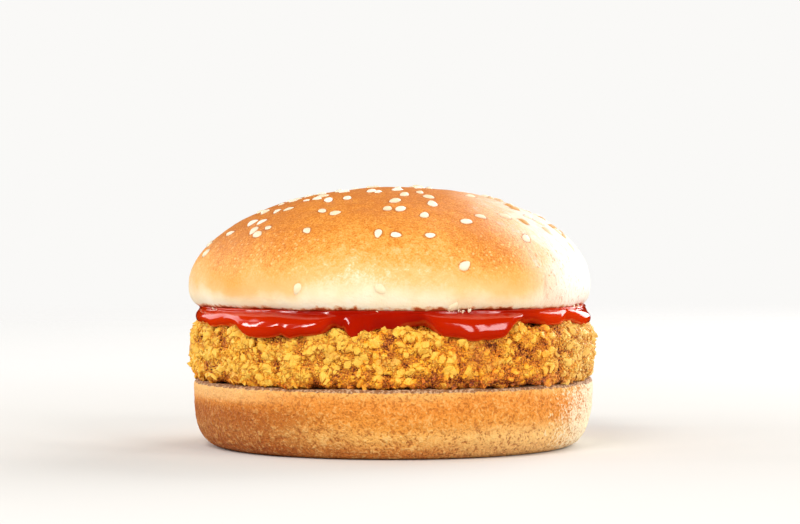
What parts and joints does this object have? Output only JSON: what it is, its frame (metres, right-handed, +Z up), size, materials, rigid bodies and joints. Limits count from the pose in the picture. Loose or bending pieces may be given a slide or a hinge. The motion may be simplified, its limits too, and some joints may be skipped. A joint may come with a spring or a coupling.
{
  "type": "veggie burger",
  "caption": "Round burger standing on its bottom bun: a crumbed patty and a layer of ketchup that runs over its edge, under a domed top bun with sesame seeds.",
  "frame": {"origin": "on the table, under the middle of the burger's footprint box", "axes": "+Z up through the layers, -Y towards the viewer, +X to the viewer's right"},
  "size_m": [0.1016, 0.101, 0.0652],
  "materials": {
    "bottom_bun": "baked bread crust, golden brown, dry and slightly wrinkled",
    "patty": "fried breadcrumb coating, golden, coarse and crisp",
    "ketchup": "thick red sauce, wet and glossy",
    "top_bun": "baked bread crust, golden brown on top and pale cream at the rim, satin sheen"
  },
  "bodies": {
    "root": {"bottom_bun": "bottom_bun", "patty": "patty", "ketchup": "ketchup", "top_bun": "top_bun"}
  },
  "joints": []
}
